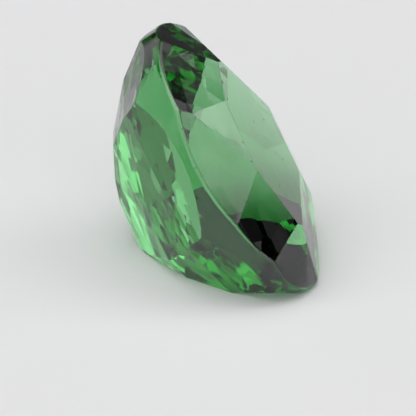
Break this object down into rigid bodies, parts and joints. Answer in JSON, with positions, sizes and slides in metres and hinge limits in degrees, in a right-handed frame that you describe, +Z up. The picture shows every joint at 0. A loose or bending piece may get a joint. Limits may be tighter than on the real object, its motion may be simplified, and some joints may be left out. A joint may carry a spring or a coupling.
{
  "type": "oval cut garnet gemstone",
  "caption": "Loose transparent green oval cut gemstone with a low crown, a thick polished girdle and a deep stepped pavilion, standing steeply on a lower facet.",
  "frame": {"origin": "centre of the footprint of the stone's bounding box, on the surface that it stands on", "axes": "+Z up, away from the resting facet; +X towards the side that the table faces; +Y away from the side that shows the crown and the pavilion edge on"},
  "size_m": [0.0058, 0.0066, 0.0062],
  "materials": {
    "garnet": "polished, transparent green"
  },
  "bodies": {
    "root": {"garnet": "garnet"}
  },
  "joints": []
}
